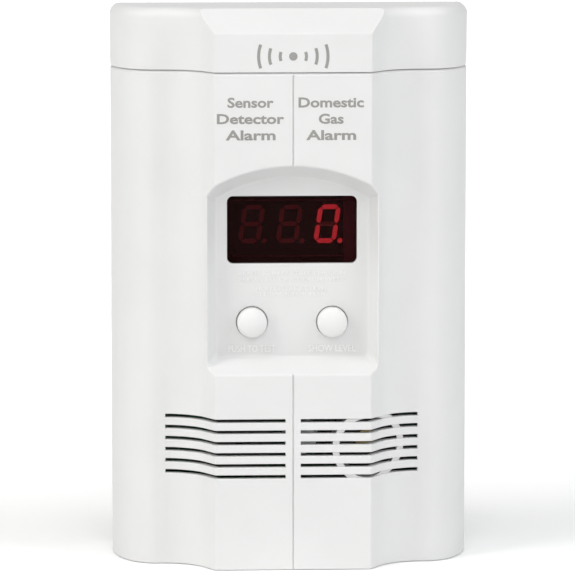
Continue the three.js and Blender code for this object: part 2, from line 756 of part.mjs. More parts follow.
const alarm = group(
  [0, 0, -PLUG_HEIGHT],
  casingSet(),
  buttonSet("test", -BUTTON_X),
  buttonSet("level", BUTTON_X),
  boardSet(),
  batterySet(),
  moduleSet(),
);

export default alarm;
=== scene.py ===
"""A plug-in carbon monoxide detector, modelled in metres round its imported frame."""

import math

import bmesh
import bpy
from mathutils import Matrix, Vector


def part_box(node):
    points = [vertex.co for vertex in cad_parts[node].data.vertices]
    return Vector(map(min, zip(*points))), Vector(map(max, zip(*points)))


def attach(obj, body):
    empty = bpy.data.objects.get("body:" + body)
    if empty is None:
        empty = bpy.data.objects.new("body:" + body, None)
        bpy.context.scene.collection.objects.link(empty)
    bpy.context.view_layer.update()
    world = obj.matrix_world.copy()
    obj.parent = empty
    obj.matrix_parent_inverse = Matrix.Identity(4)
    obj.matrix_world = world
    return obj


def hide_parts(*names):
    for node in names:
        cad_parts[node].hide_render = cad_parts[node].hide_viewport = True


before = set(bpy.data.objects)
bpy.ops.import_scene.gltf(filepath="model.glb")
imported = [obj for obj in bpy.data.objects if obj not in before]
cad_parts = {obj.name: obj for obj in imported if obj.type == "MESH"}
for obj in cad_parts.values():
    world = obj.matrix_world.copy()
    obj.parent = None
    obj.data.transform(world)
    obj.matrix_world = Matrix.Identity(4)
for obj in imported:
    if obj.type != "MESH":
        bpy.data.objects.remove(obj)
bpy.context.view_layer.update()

MM = 0.001

# Places taken from the frame
COVER_LOW, COVER_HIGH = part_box("front_cover")
DOOR_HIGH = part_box("battery_door")[1]
LENS_LOW, LENS_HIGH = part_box("display_lens")
MODULE_LOW, MODULE_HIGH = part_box("display_module")
HALF_WIDTH = COVER_HIGH.x
FRONT = COVER_LOW.y  # the flat centre panel
REAR = COVER_HIGH.y  # back edge of the cover and of the door
BASE = COVER_LOW.z
SEAM = COVER_HIGH.z
TOP = DOOR_HIGH.z
DOOR_BOTTOM = SEAM + 0.1 * MM

# Plan of the casing
WALL = 2 * MM
PLATEAU = FRONT + 10.2 * MM
PANEL_HALF = 20.6 * MM
SLOPE = math.radians(58)
SLOPE_FOOT = PANEL_HALF + (PLATEAU - FRONT) / math.tan(SLOPE)
COVE_RADIUS = 12 * MM
SHOULDER = Vector((11.5 * MM, 19.8 * MM))  # across and along the depth
CHAMFER_LOW = TOP - 6.1 * MM
CHAMFER_BACK = 7.2 * MM
TOP_ROUND = 2.6 * MM

# Display recess
RECESS_FLOOR = FRONT + 7.9 * MM
RECESS_HALF = 20.1 * MM
RECESS_LOW = BASE + 55.7 * MM
ARCH_Z = BASE + 63.7 * MM
ARCH_RADIUS = 39.5 * MM
DRAFT = math.radians(25)
WINDOW_HALF = 17.05 * MM
WINDOW_LOW = BASE + 80.45 * MM
WINDOW_HIGH = BASE + 98.2 * MM
WINDOW_CORNER = 1.5 * MM

# Buttons
BUTTON_X = 10.55 * MM
BUTTON_Z = BASE + 64.9 * MM
BUTTON_RADIUS = 3.95 * MM
DOME_DEPTH = 2.1 * MM
STEM_RADIUS = 1.6 * MM
HOLE_RADIUS = 4.12 * MM

# Vents and the sounder's socket
VENT_TOP = BASE + 39.75 * MM
VENT_PITCH = 2.97 * MM
VENT_HEIGHT = 0.92 * MM
VENT_SPAN = (2 * MM, 33.4 * MM)
VENT_ROWS = 6
SOUNDER = Vector((20 * MM, 0, BASE + 32.3 * MM))
SOCKET_OUTER = 9.65 * MM
SOCKET_INNER = 7.95 * MM
SOCKET_SUNK = 0.6 * MM


# ---- working by hand: selecting, adding, cutting ----


def only(obj):
    """Makes obj the one selected and active object."""
    if bpy.context.object and bpy.context.object.mode != "OBJECT":
        bpy.ops.object.mode_set(mode="OBJECT")
    bpy.ops.object.select_all(action="DESELECT")
    obj.select_set(True)
    bpy.context.view_layer.objects.active = obj


def settle(obj, name):
    """Puts an object's place, turn and size into its mesh."""
    only(obj)
    bpy.ops.object.transform_apply(location=True, rotation=True, scale=True)
    obj.name = obj.data.name = name
    return obj


def edit(obj):
    only(obj)
    bpy.ops.object.mode_set(mode="EDIT")
    bpy.ops.mesh.select_all(action="DESELECT")


def done(obj):
    bpy.ops.object.mode_set(mode="OBJECT")
    return obj


def pick(obj, kind, test):
    """In edit mode, selects just the verts, edges or faces that pass the test."""
    modes = {"verts": "VERT", "edges": "EDGE", "faces": "FACE"}
    bpy.ops.mesh.select_mode(type=modes[kind])
    bpy.ops.mesh.select_all(action="DESELECT")
    mesh = bmesh.from_edit_mesh(obj.data)
    for item in getattr(mesh, kind):
        if test(item):
            item.select_set(True)
    mesh.select_flush_mode()
    bmesh.update_edit_mesh(obj.data)


def near(value, target):
    return abs(value - target) < 0.02 * MM


def both(edge, test):
    return all(test(vert.co) for vert in edge.verts)


def upright(edge):
    span = edge.verts[0].co - edge.verts[1].co
    return abs(span.z) > abs(span.x) + abs(span.y)


def bevel(width, segments, profile=0.5):
    bpy.ops.mesh.bevel(
        offset=width,
        segments=segments,
        profile=profile,
        affect="EDGES",
        clamp_overlap=False,
    )


def slice_off(obj, point, normal):
    """Cuts away what lies on the normal's side of a plane and closes the cut."""
    edit(obj)
    bpy.ops.mesh.select_all(action="SELECT")
    bpy.ops.mesh.bisect(plane_co=point, plane_no=normal, use_fill=True, clear_outer=True)
    return done(obj)


def cube(name, low, high):
    low, high = Vector(low), Vector(high)
    bpy.ops.mesh.primitive_cube_add(size=1, location=(low + high) / 2)
    bpy.context.object.scale = high - low
    return settle(bpy.context.object, name)


def cylinder(name, radius, front, back, x=0.0, z=0.0, sides=48):
    """A cylinder along the depth."""
    bpy.ops.mesh.primitive_cylinder_add(
        vertices=sides,
        radius=radius,
        depth=back - front,
        location=(x, (front + back) / 2, z),
        rotation=(math.radians(90), 0, 0),
    )
    return settle(bpy.context.object, name)


def boolean(obj, tool, operation="DIFFERENCE"):
    only(obj)
    step = obj.modifiers.new(operation, "BOOLEAN")
    step.operation = operation
    step.solver = "EXACT"
    step.material_mode = "TRANSFER"
    step.object = tool
    bpy.ops.object.modifier_apply(modifier=step.name)
    bpy.data.objects.remove(tool)
    return obj


def mark(obj, name):
    """Gives a solid a working mark, so that the faces it leaves in a cut can be told apart."""
    marker = bpy.data.materials.get(name) or bpy.data.materials.new(name)
    obj.data.materials.clear()
    obj.data.materials.append(marker)
    return obj


def marks_of(obj, edge):
    return {obj.data.materials[face.material_index].name for face in edge.link_faces}


def clear_marks(obj):
    for polygon in obj.data.polygons:
        polygon.material_index = 0
    obj.data.materials.clear()


def smooth(obj, angle=38):
    """Smooth shading with its weight on the large faces."""
    only(obj)
    bpy.ops.object.shade_smooth_by_angle(angle=math.radians(angle))
    step = obj.modifiers.new("weighted", "WEIGHTED_NORMAL")
    step.keep_sharp = True
    bpy.ops.object.modifier_apply(modifier=step.name)
    return obj


def squash_depth(obj, factor):
    obj.scale.y = factor
    return settle(obj, obj.name)


def casing_block(name, inset, low, high, rear):
    """The casing's plan, moved inwards by inset, as a block from low to high."""
    half = HALF_WIDTH - inset
    plateau = PLATEAU + inset
    foot = SLOPE_FOOT - inset * math.tan(SLOPE / 2)
    panel_half = PANEL_HALF - inset * math.tan(SLOPE / 2)
    block = cube(name, (-half, plateau, low), (half, rear, high))
    across, along = SHOULDER.x - inset, SHOULDER.y - inset
    squash_depth(block, across / along)
    edit(block)
    corner_y = plateau * across / along
    pick(block, "edges", lambda e: upright(e) and both(
        e, lambda v: near(v.y, corner_y) and near(abs(v.x), half)))
    bevel(across, 20)
    done(block)
    squash_depth(block, along / across)
    edit(block)
    for side in (-1, 1):
        bpy.ops.mesh.select_all(action="SELECT")
        bpy.ops.mesh.bisect(plane_co=(side * foot, 0, 0), plane_no=(1, 0, 0))
    pick(block, "faces", lambda f: f.normal.y < -0.99 and abs(f.calc_center_median().x) < foot * 0.9)
    bpy.ops.mesh.extrude_region_move(TRANSFORM_OT_translate={"value": (0, FRONT - PLATEAU, 0)})
    bpy.ops.transform.resize(value=(panel_half / foot, 1, 1), center_override=(0, 0, 0))
    pick(block, "edges", lambda e: upright(e) and both(
        e, lambda v: near(v.y, plateau) and near(abs(v.x), foot)))
    bevel((COVE_RADIUS + inset) * math.tan(SLOPE / 2), 14)
    bpy.ops.mesh.select_all(action="SELECT")
    bpy.ops.mesh.dissolve_limited(angle_limit=math.radians(0.5))
    return done(block)


def chamfer(block, inset):
    """Slopes the front of the top as the battery door has it, moved inwards by inset."""
    rise = TOP - CHAMFER_LOW
    normal = Vector((0, -rise, CHAMFER_BACK)).normalized()
    return slice_off(block, Vector((0, FRONT, CHAMFER_LOW)) - normal * inset, normal)


def recess_block(name, grow, floor):
    """The display recess: a cone for its arch, sliced to its sides and its lower edge."""
    front = FRONT - 2 * MM
    widen = (floor - front) * math.tan(DRAFT)
    shift = grow - (floor - RECESS_FLOOR) * math.tan(DRAFT)
    bpy.ops.mesh.primitive_cone_add(
        vertices=96,
        radius1=ARCH_RADIUS + shift + widen,
        radius2=ARCH_RADIUS + shift,
        depth=floor - front,
        location=(0, (floor + front) / 2, ARCH_Z),
        rotation=(math.radians(-90), 0, 0),
    )
    block = settle(bpy.context.object, name)
    lean = math.sin(DRAFT)
    stand = math.cos(DRAFT)
    for side in (-1, 1):
        point = (side * (RECESS_HALF + shift), floor, 0)
        slice_off(block, point, (side * stand, lean, 0))
    return slice_off(block, (0, floor, RECESS_LOW - shift), (0, lean, -stand))


def round_recess_corners(block):
    """Rounds the two lower corners, then the edge round the floor."""
    edit(block)
    pick(block, "edges", lambda e: e.calc_face_angle(0) > math.radians(45) and e.verts[0].co.z < ARCH_Z
         and abs(e.verts[0].co.y - e.verts[1].co.y) > 5 * MM)
    bevel(1.4 * MM, 5)
    pick(block, "edges", lambda e: both(e, lambda v: near(v.y, RECESS_FLOOR)))
    bevel(0.4 * MM, 3)
    return done(block)


def panel_fold(edge):
    """Whether an edge is one of the two folds beside the centre panel."""
    return upright(edge) and both(edge, lambda v: near(v.y, FRONT) and near(abs(v.x), PANEL_HALF))


def soften(obj, width, segments, test, profile=0.5):
    edit(obj)
    pick(obj, "edges", test)
    bevel(width, segments, profile)
    return done(obj)


# ---- front cover ----


def vent_slots(side):
    """Six slots one above the other, modelled once and repeated upwards."""
    inner, outer = sorted((side * VENT_SPAN[0], side * VENT_SPAN[1]))
    low = VENT_TOP - VENT_HEIGHT / 2 - (VENT_ROWS - 1) * VENT_PITCH
    slots = cube("slots", (inner, FRONT - 2 * MM, low), (outer, FRONT + 15 * MM, low + VENT_HEIGHT))
    step = slots.modifiers.new("rows", "ARRAY")
    step.count = VENT_ROWS
    step.use_relative_offset = False
    step.use_constant_offset = True
    step.constant_offset_displace = (0, 0, VENT_PITCH)
    only(slots)
    bpy.ops.object.modifier_apply(modifier=step.name)
    return mark(slots, "slot")


def sounder_socket():
    ring = cylinder("socket", SOCKET_OUTER, FRONT, FRONT + 12.3 * MM, SOUNDER.x, SOUNDER.z, 72)
    bore = cylinder("bore", SOCKET_INNER, FRONT - MM, FRONT + 14 * MM, SOUNDER.x, SOUNDER.z, 72)
    boolean(ring, bore)
    return boolean(ring, casing_block("skin", SOCKET_SUNK, BASE + MM, SEAM, REAR), "INTERSECT")


def cover_cavity():
    cavity = casing_block("cavity", WALL, BASE + WALL, SEAM - WALL, REAR + 5 * MM)
    boolean(cavity, recess_block("backing", WALL * 1.1, RECESS_FLOOR + WALL))
    return mark(cavity, "cavity")


def tray_opening():
    """Where the battery tray sits in the cover's top wall."""
    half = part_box("battery_tray")[1].x + 0.3 * MM
    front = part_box("battery_tray")[0].y - 0.3 * MM
    opening = casing_block("tray_opening", WALL, SEAM - 4 * MM, SEAM + MM, REAR + 5 * MM)
    slice_off(opening, (half, 0, 0), (1, 0, 0))
    slice_off(opening, (-half, 0, 0), (-1, 0, 0))
    slice_off(opening, (0, front, 0), (0, -1, 0))
    return mark(opening, "cavity")


def window_hole():
    hole = cube("window", (-WINDOW_HALF, RECESS_FLOOR - 3 * MM, WINDOW_LOW),
                (WINDOW_HALF, RECESS_FLOOR + 3 * MM, WINDOW_HIGH))
    soften(hole, WINDOW_CORNER, 5, lambda e: abs(e.verts[0].co.y - e.verts[1].co.y) > MM)
    return mark(hole, "opening")


def centre_groove(name, low, high):
    """A four-sided bar standing on its edge, which leaves a V groove down the centre panel."""
    half_width = 0.42 * MM
    half_depth = 0.68 * MM
    sunk = 0.45 * MM
    bpy.ops.mesh.primitive_cylinder_add(
        vertices=4, radius=1, depth=high - low, location=(0, FRONT + sunk - half_depth, (low + high) / 2)
    )
    bar = bpy.context.object
    bar.scale = (half_width, half_depth, 1)
    return settle(bar, name)


def at_height(edge, z):
    """Whether an edge lies in the outline at height z, leaving out its straight rear."""
    return both(edge, lambda v: near(v.z, z)) and not both(edge, lambda v: near(v.y, REAR))


def front_cover():
    cover = casing_block("casing_front", 0, BASE, SEAM, REAR)
    soften(cover, 0.4 * MM, 3, panel_fold)
    soften(cover, 0.4 * MM, 3, lambda e: at_height(e, BASE))
    soften(cover, 0.8 * MM, 4, lambda e: at_height(e, SEAM), profile=0.35)
    mark(cover, "outside")
    boolean(cover, cover_cavity())
    boolean(cover, tray_opening())
    latch_slot = cube("latch_slot", (-6.4 * MM, FRONT + WALL, SEAM - 4 * MM),
                      (6.4 * MM, FRONT + 5 * MM, SEAM + MM))
    boolean(cover, mark(latch_slot, "cavity"))
    boolean(cover, mark(round_recess_corners(recess_block("recess", 0, RECESS_FLOOR)), "recess"))
    boolean(cover, window_hole())
    for side in (-1, 1):
        hole = cylinder("hole", HOLE_RADIUS, RECESS_FLOOR - 3 * MM, RECESS_FLOOR + 3 * MM,
                        side * BUTTON_X, BUTTON_Z, 64)
        boolean(cover, mark(hole, "opening"))
        boolean(cover, vent_slots(side))
    soften(cover, 0.5 * MM, 3, lambda e: marks_of(cover, e) == {"outside", "recess"})
    soften(cover, 0.2 * MM, 3, lambda e: marks_of(cover, e) == {"outside", "slot"})
    soften(cover, 0.3 * MM, 3, lambda e: marks_of(cover, e) == {"recess", "opening"})
    boolean(cover, sounder_socket(), "UNION")
    boolean(cover, centre_groove("groove_above", ARCH_Z + ARCH_RADIUS + 3 * MM, SEAM + MM))
    boolean(cover, centre_groove("groove_below", BASE - MM, RECESS_LOW - 3 * MM))
    clear_marks(cover)
    return smooth(cover)


# ---- battery door ----


def hinge_knuckle(side):
    """The barrel behind the door's rear edge, with the arm that carries it."""
    pin_low, pin_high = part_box("hinge_pin_right" if side > 0 else "hinge_pin_left")
    centre = (pin_low + pin_high) / 2
    half = 4 * MM
    bpy.ops.mesh.primitive_cylinder_add(
        vertices=40, radius=1.9 * MM, depth=2 * half, location=centre, rotation=(0, math.radians(90), 0)
    )
    barrel = settle(bpy.context.object, "barrel")
    arm = cube("arm", (centre.x - half, REAR - 2 * MM, centre.z),
               (centre.x + half, centre.y, centre.z + 1.7 * MM))
    boolean(barrel, arm, "UNION")
    bpy.ops.mesh.primitive_cylinder_add(
        vertices=32, radius=1.2 * MM, depth=4 * half, location=centre, rotation=(0, math.radians(90), 0)
    )
    return boolean(barrel, settle(bpy.context.object, "bore"))


def chamfer_cutter():
    """A block turned to lie on the door's chamfer."""
    slope = math.atan2(TOP - CHAMFER_LOW, CHAMFER_BACK)
    reach = 120 * MM
    thick = 30 * MM
    bpy.ops.mesh.primitive_cube_add(size=1)
    cutter = bpy.context.object
    cutter.scale = (reach, reach, thick)
    cutter.rotation_euler.x = slope
    middle = Vector((0, FRONT + CHAMFER_BACK / 2, (TOP + CHAMFER_LOW) / 2))
    cutter.location = middle + Vector((0, -math.sin(slope), math.cos(slope))) * thick / 2
    return mark(settle(cutter, "chamfer_cutter"), "chamfer")


def long_chamfer_edge(door, edge):
    return marks_of(door, edge) == {"outside", "chamfer"} and edge.calc_length() > 3 * MM


def battery_door():
    door = casing_block("door_shell", 0, DOOR_BOTTOM, TOP, REAR)
    soften(door, 0.25 * MM, 3, lambda e: at_height(e, DOOR_BOTTOM))
    soften(door, TOP_ROUND, 8, lambda e: at_height(e, TOP))
    boolean(mark(door, "outside"), chamfer_cutter())
    soften(door, 0.35 * MM, 3, lambda e: panel_fold(e) or long_chamfer_edge(door, e))
    cavity = chamfer(casing_block("cavity", WALL, DOOR_BOTTOM - MM, TOP - WALL, REAR + 5 * MM), WALL)
    boolean(door, cavity)
    web = cube("web", (-6 * MM, FRONT + 1.5 * MM, SEAM + 1.8 * MM),
               (6 * MM, FRONT + 4.6 * MM, SEAM + 3.2 * MM))
    hook = cube("hook", (-6 * MM, FRONT + 3.4 * MM, SEAM - 1.8 * MM),
                (6 * MM, FRONT + 4.6 * MM, SEAM + 3 * MM))
    soften(hook, 0.3 * MM, 2, lambda e: both(e, lambda v: v.z < SEAM))
    boolean(door, boolean(web, hook, "UNION"), "UNION")
    for side in (-1, 1):
        boolean(door, hinge_knuckle(side), "UNION")
    clear_marks(door)
    return smooth(door)


# ---- pieces refined from their solids ----


def refined(node, name, width=0.3 * MM, segments=2, sharp=40):
    """A copy of a solid with its flats merged and its sharp edges rounded."""
    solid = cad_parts[node]
    only(solid)
    copy = solid.copy()
    copy.data = solid.data.copy()
    bpy.context.scene.collection.objects.link(copy)
    for key in list(copy.keys()):
        del copy[key]
    copy.parent = None
    copy.name = copy.data.name = name
    copy.data.materials.clear()
    edit(copy)
    bpy.ops.mesh.select_all(action="SELECT")
    bpy.ops.mesh.remove_doubles(threshold=0.002 * MM)
    bpy.ops.mesh.dissolve_limited(angle_limit=math.radians(1))
    pick(copy, "edges", lambda e: e.calc_face_angle(0) > math.radians(sharp))
    bpy.ops.mesh.bevel(offset=width, segments=segments, profile=0.5, affect="EDGES", clamp_overlap=True)
    done(copy)
    return smooth(copy, 35)


def window_pane():
    """The tinted pane: its face fills the window and its flange lies behind the cover."""
    gap = 0.12 * MM
    front = RECESS_FLOOR + 0.3 * MM
    flange = LENS_LOW.y + 2 * MM
    pane = cube("window_pane", (-WINDOW_HALF + gap, front, WINDOW_LOW + gap),
                (WINDOW_HALF - gap, flange, WINDOW_HIGH - gap))
    soften(pane, WINDOW_CORNER, 5, lambda e: abs(e.verts[0].co.y - e.verts[1].co.y) > MM)
    soften(pane, 0.15 * MM, 2, lambda e: both(e, lambda v: near(v.y, front)))
    edit(pane)
    pick(pane, "faces", lambda f: f.normal.y > 0.99)
    bpy.ops.mesh.extrude_region_move(TRANSFORM_OT_translate={"value": (0, 0, 0)})
    middle = (0, flange, (WINDOW_LOW + WINDOW_HIGH) / 2)
    bpy.ops.transform.resize(value=(1.1, 1, 1.18), center_override=middle)
    bpy.ops.mesh.extrude_region_move(TRANSFORM_OT_translate={"value": (0, LENS_HIGH.y - flange, 0)})
    done(pane)
    return smooth(pane)


def button_cap(name, node):
    """A round cap with a domed front: half of a flattened ball drawn back into a cylinder."""
    low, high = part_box(node)
    centre = Vector(((low.x + high.x) / 2, low.y + DOME_DEPTH, (low.z + high.z) / 2))
    bpy.ops.mesh.primitive_uv_sphere_add(
        segments=64,
        ring_count=32,
        radius=BUTTON_RADIUS,
        location=centre,
    )
    cap = bpy.context.object
    cap.rotation_euler.x = math.radians(90)
    cap.scale = (1, 1, (centre.y - low.y) / BUTTON_RADIUS)
    settle(cap, name)
    edit(cap)
    bpy.ops.mesh.select_all(action="SELECT")
    bpy.ops.mesh.bisect(plane_co=centre, plane_no=(0, 1, 0), clear_outer=True)
    pick(cap, "edges", lambda e: both(e, lambda v: near(v.y, centre.y)))
    flange = RECESS_FLOOR + 2.3 * MM
    bpy.ops.mesh.extrude_region_move(TRANSFORM_OT_translate={"value": (0, flange - centre.y, 0)})
    flange_radius = (high.x - low.x) / 2
    steps = (
        (flange_radius / BUTTON_RADIUS, 0),
        (1, MM),
        (STEM_RADIUS / flange_radius, 0),
        (1, high.y - flange - MM),
    )
    for scale, move in steps:
        bpy.ops.mesh.extrude_region_move(TRANSFORM_OT_translate={"value": (0, move, 0)})
        bpy.ops.transform.resize(value=(scale, 1, scale), center_override=centre)
    bpy.ops.mesh.edge_face_add()
    bpy.ops.mesh.select_all(action="SELECT")
    bpy.ops.mesh.normals_make_consistent(inside=False)
    done(cap)
    return smooth(cap)


# ---- display ----

DIGIT_PITCH = 10 * MM
DIGIT_HEIGHT = 10.2 * MM
DIGIT_WIDTH = 5.9 * MM
STROKE = 1.2 * MM
SLANT = math.tan(math.radians(8.5))
BAR_GAP = 0.2 * MM
BAR_DEPTH = 0.3 * MM
BAR_TIP = 0.12  # width of a bar's end over its middle
DIGIT_Z = BASE + 90.15 * MM
DIGIT_CENTRE = -0.45 * MM
DOT_RADIUS = 0.65 * MM


def bar(name, middle, standing, length):
    """A light bar of the display, with its ends drawn to points."""
    along, across = (2, 0) if standing else (0, 2)
    half = Vector((0, BAR_DEPTH / 2, 0))
    half[along] = (length - STROKE) / 2 - BAR_GAP
    half[across] = STROKE / 2
    made = cube(name, middle - half, middle + half)
    edit(made)
    for way in (-1, 1):
        pick(made, "faces", lambda f: f.normal[along] * way > 0.9)
        move = [0, 0, 0]
        move[along] = way * STROKE / 2
        bpy.ops.mesh.extrude_region_move(TRANSFORM_OT_translate={"value": move})
        squeeze = [1, 1, 1]
        squeeze[across] = BAR_TIP
        bpy.ops.transform.resize(value=squeeze, center_override=middle)
    return done(made)


def slanted(obj):
    """Leans a digit's bar to the right, as the display has it."""
    for vert in obj.data.vertices:
        vert.co.x += (vert.co.z - DIGIT_Z) * SLANT
    return obj


def display_digit(name, centre, lit):
    """Seven bars and a dot; those named in lit glow."""
    high = DIGIT_HEIGHT / 2 - STROKE / 2
    wide = DIGIT_WIDTH / 2 - STROKE / 2
    places = {
        "a": ((0, high), False),
        "b": ((wide, high / 2), True),
        "c": ((wide, -high / 2), True),
        "d": ((0, -high), False),
        "e": ((-wide, -high / 2), True),
        "f": ((-wide, high / 2), True),
        "g": ((0, 0), False),
    }
    made = {True: [], False: []}
    for key, ((x, z), standing) in places.items():
        length = high if standing else 2 * wide
        middle = Vector((centre + x, MODULE_LOW.y, DIGIT_Z + z))
        made[key in lit].append(slanted(bar(f"{name}_{key}", middle, standing, length)))
    front, back = MODULE_LOW.y - BAR_DEPTH / 2, MODULE_LOW.y + BAR_DEPTH / 2
    dot_x = centre + DIGIT_WIDTH / 2 + 1.1 * MM
    dot = cylinder(f"{name}_dot", DOT_RADIUS, front, back, dot_x, DIGIT_Z - high, 24)
    made["dot" in lit].append(slanted(dot))
    pieces = []
    for glowing, bars in made.items():
        if bars:
            only(bars[0])
            for other in bars[1:]:
                other.select_set(True)
            bpy.ops.object.join()
            piece = settle(bars[0], f"{name}_{'lit' if glowing else 'dark'}")
            pieces.append((piece, glowing))
    return pieces


def display_block():
    """The display's body: a black block with a shallow lip round its face."""
    block = cube("display_block", MODULE_LOW, MODULE_HIGH)
    edit(block)
    pick(block, "faces", lambda f: f.normal.y < -0.9)
    bpy.ops.mesh.inset(thickness=0.8 * MM, depth=0)
    bpy.ops.mesh.extrude_region_move(TRANSFORM_OT_translate={"value": (0, 0.35 * MM, 0)})
    pick(block, "edges", lambda e: e.calc_face_angle(0) > math.radians(60))
    bpy.ops.mesh.bevel(offset=0.15 * MM, segments=2, affect="EDGES")
    done(block)
    return smooth(block)


RIM_LEFT = -15.5 * MM
RIM_RIGHT = 13.9 * MM
RIM_LINES = ((81.5 * MM, 81.75 * MM), (96.35 * MM, 96.65 * MM))  # heights above the base


def display_rim():
    """The paler edge of the display: a strip at its right, and a line at its top and bottom."""
    face = MODULE_LOW.y
    front, back = face - 0.3 * MM, face + 0.4 * MM
    rim = cube("display_rim", (RIM_RIGHT, front, MODULE_LOW.z + MM),
               (MODULE_HIGH.x - MM, back, MODULE_HIGH.z - MM))
    for low, high in RIM_LINES:
        line = cube("line", (RIM_LEFT, front, BASE + low), (RIM_RIGHT + MM, back, BASE + high))
        boolean(rim, line, "UNION")
    soften(rim, 0.08 * MM, 2, lambda e: both(e, lambda v: v.y < face)
           and e.calc_face_angle(0) > math.radians(60))
    return smooth(rim)


# ---- lettering and print ----


CAPITAL_SHARE = 0.7  # height of a capital over the letter size


def lettering(name, text, x, z, height, y, thickness, width, bold=0.0):
    """Raised or printed words, half sunk in the surface at y, centred on (x, z)."""
    bpy.ops.object.text_add(location=(0, 0, 0))
    words = bpy.context.object
    words.data.body = text
    words.data.align_x = "CENTER"
    words.data.align_y = "CENTER"
    words.data.size = height / CAPITAL_SHARE
    words.data.extrude = thickness / 2
    words.data.offset = bold
    words.data.resolution_u = 3
    only(words)
    bpy.ops.object.convert(target="MESH")
    words = bpy.context.object
    words.rotation_euler = (math.radians(90), 0, 0)
    settle(words, name)
    words.scale.x = width / words.dimensions.x
    settle(words, name)
    points = [vert.co for vert in words.data.vertices]
    middle = Vector([(min(p[i] for p in points) + max(p[i] for p in points)) / 2 for i in range(3)])
    words.location = Vector((x, y, z)) - middle
    return settle(words, name)


INK_DEPTH = 0.03 * MM
MARK_Z = BASE + 135.5 * MM
MARK_DOT = 1.1 * MM
MARK_ARCS = (3.8 * MM, 6.6 * MM, 9.4 * MM)
MARK_LINE = 0.8 * MM
MARK_REACH = math.radians(20)


def sound_mark():
    """A plain pictogram of a sounding alarm: a dot with three arcs on either side."""
    front, back = FRONT - INK_DEPTH, FRONT + INK_DEPTH
    across, along = math.sin(MARK_REACH), math.cos(MARK_REACH)
    parts = [cylinder("sound_mark", MARK_DOT, front, back, 0, MARK_Z, 32)]
    for radius in MARK_ARCS:
        for side in (-1, 1):
            arc = cylinder("arc", radius, front, back, 0, MARK_Z, 144)
            inside = cylinder("inside", radius - MARK_LINE, FRONT - MM, FRONT + MM, 0, MARK_Z, 144)
            boolean(arc, inside)
            for way in (-1, 1):
                slice_off(arc, (0, 0, MARK_Z), (-side * across, 0, way * along))
            parts.append(arc)
    only(parts[0])
    for other in parts[1:]:
        other.select_set(True)
    bpy.ops.object.join()
    return settle(parts[0], "sound_mark")


# ---- finishes ----


def shader_of(name):
    finish = bpy.data.materials.new(name)
    finish.use_nodes = True
    return finish, finish.node_tree.nodes["Principled BSDF"]


def add_node(finish, kind, **values):
    node = finish.node_tree.nodes.new(kind)
    for key, value in values.items():
        node.inputs[key.replace("_", " ")].default_value = value
    return node


def noise(finish, scale, detail=3.0):
    """A noise pattern in the object's own coordinates, in grains per metre."""
    place = finish.node_tree.nodes.new("ShaderNodeTexCoord")
    pattern = add_node(finish, "ShaderNodeTexNoise", Scale=scale, Detail=detail)
    finish.node_tree.links.new(place.outputs["Object"], pattern.inputs["Vector"])
    return pattern.outputs["Fac"]


def bump(finish, shader, height, strength, distance):
    node = add_node(finish, "ShaderNodeBump", Strength=strength, Distance=distance)
    finish.node_tree.links.new(height, node.inputs["Height"])
    finish.node_tree.links.new(node.outputs["Normal"], shader.inputs["Normal"])


def ramp(finish, factor, stops):
    node = finish.node_tree.nodes.new("ShaderNodeValToRGB")
    elements = node.color_ramp.elements
    while len(elements) < len(stops):
        elements.new(0.5)
    for element, (place, colour) in zip(elements, stops):
        element.position = place
        element.color = (*colour, 1)
    finish.node_tree.links.new(factor, node.inputs["Fac"])
    return node.outputs["Color"]


def spread(finish, factor, low, high):
    node = finish.node_tree.nodes.new("ShaderNodeMapRange")
    node.inputs["To Min"].default_value = low
    node.inputs["To Max"].default_value = high
    finish.node_tree.links.new(factor, node.inputs["Value"])
    return node.outputs["Result"]


def plastic(name, colour, roughness, grain=2600, relief=0.05, shade=0.97):
    """Moulded plastic: an even colour that drifts a little, and a fine spark-eroded grain."""
    finish, shader = shader_of(name)
    darker = tuple(channel * shade for channel in colour)
    tint = ramp(finish, noise(finish, 60), [(0.3, darker), (0.7, colour)])
    finish.node_tree.links.new(tint, shader.inputs["Base Color"])
    fine = noise(finish, grain, 2.0)
    rough = spread(finish, fine, roughness - 0.05, roughness + 0.05)
    finish.node_tree.links.new(rough, shader.inputs["Roughness"])
    bump(finish, shader, fine, relief, 0.00005)
    shader.inputs["IOR"].default_value = 1.5
    return finish


def metal(name, colour, roughness):
    """Drawn or plated metal with fine uneven polish."""
    finish, shader = shader_of(name)
    darker = tuple(channel * 0.82 for channel in colour)
    tint = ramp(finish, noise(finish, 180, 5.0), [(0.3, darker), (0.75, colour)])
    finish.node_tree.links.new(tint, shader.inputs["Base Color"])
    fine = noise(finish, 900, 4.0)
    rough = spread(finish, fine, roughness - 0.08, roughness + 0.12)
    finish.node_tree.links.new(rough, shader.inputs["Roughness"])
    bump(finish, shader, fine, 0.08, 0.00004)
    shader.inputs["Metallic"].default_value = 1.0
    return finish


def ink(name, colour):
    """Pad-printed ink, a little uneven in its cover."""
    return plastic(name, colour, 0.55, grain=4000, relief=0.02, shade=0.9)


def tinted_pane():
    """The dark red pane, clear enough to show the digits behind it."""
    finish, shader = shader_of("tinted_red_pane")
    deep, pale = (0.012, 0.003, 0.0028), (0.014, 0.0036, 0.0034)
    tint = ramp(finish, noise(finish, 90), [(0.35, deep), (0.7, pale)])
    finish.node_tree.links.new(tint, shader.inputs["Base Color"])
    rough = spread(finish, noise(finish, 700), 0.36, 0.44)
    finish.node_tree.links.new(rough, shader.inputs["Roughness"])
    shader.inputs["Alpha"].default_value = 0.55
    shader.inputs["IOR"].default_value = 1.49
    shader.inputs["Specular IOR Level"].default_value = 0.02
    return finish


